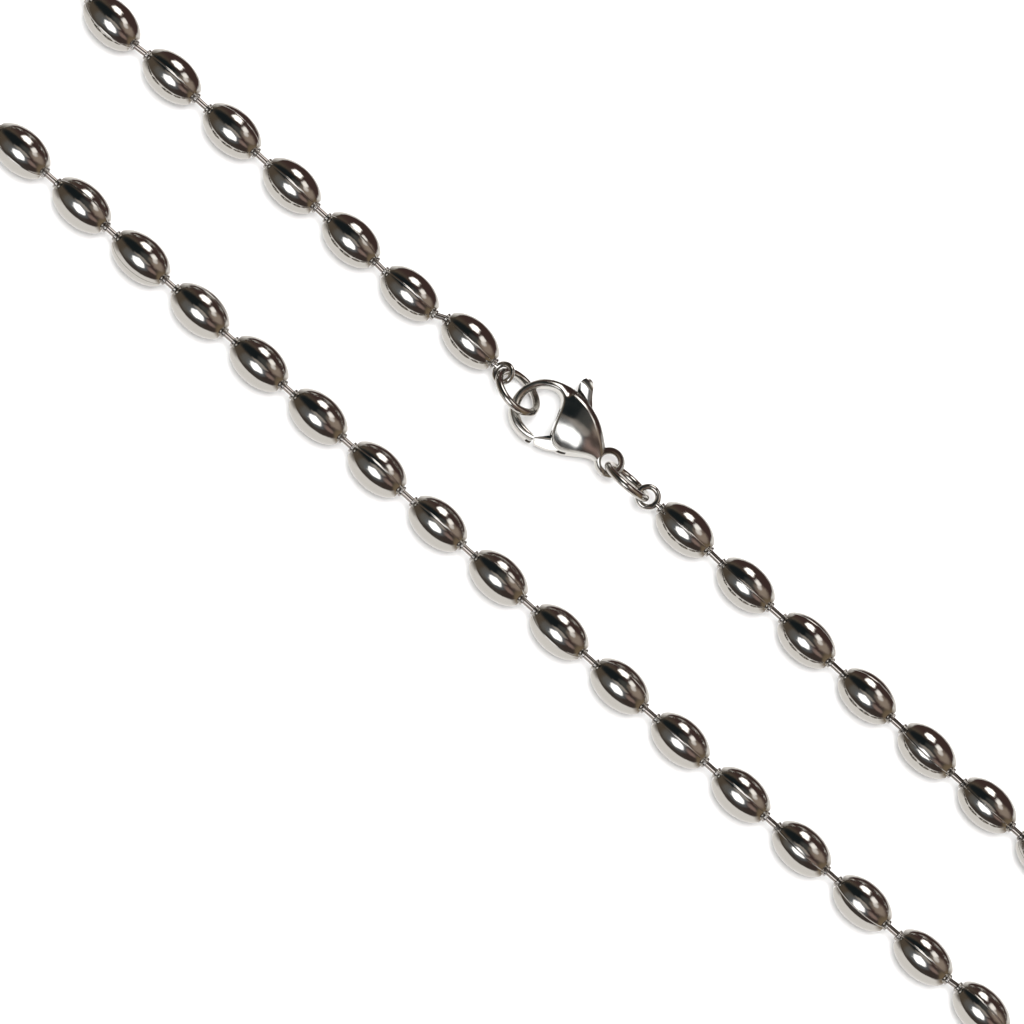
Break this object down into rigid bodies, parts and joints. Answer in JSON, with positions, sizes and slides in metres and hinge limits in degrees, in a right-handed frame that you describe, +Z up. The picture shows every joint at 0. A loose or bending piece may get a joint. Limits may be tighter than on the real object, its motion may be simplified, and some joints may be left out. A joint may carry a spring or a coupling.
{
  "type": "ball chain necklace",
  "caption": "Polished steel necklace of oval hollow beads joined by short wires, closed by a lobster clasp with a spring lever between two jump rings.",
  "frame": {"origin": "on the surface it lies on, under the middle of the whole loop", "axes": "+X along the two long strands, from the clasp's hook towards its eye; +Y across them, from the far strand to the strand with the clasp; +Z up from the surface"},
  "size_m": [0.2281, 0.0416, 0.0049],
  "materials": {
    "steel": "polished stainless steel"
  },
  "bodies": {
    "necklace": {"beads": "steel", "links": "steel", "end_loop_left": "steel", "end_loop_right": "steel", "ring_hook": "steel", "ring_eye": "steel", "clasp_body": "steel", "clasp_pin": "steel"},
    "lever": {"clasp_lever": "steel"}
  },
  "joints": [
    {"name": "lever_hinge", "type": "hinge", "parent": "necklace", "child": "lever", "pos_m": [-0.00209, 0.00761, 0.00195], "axis": [0, 0, -1], "range_deg": [0, 24], "stiffness_Nm_per_rad": 0.01, "springref_deg": -17.19}
  ]
}
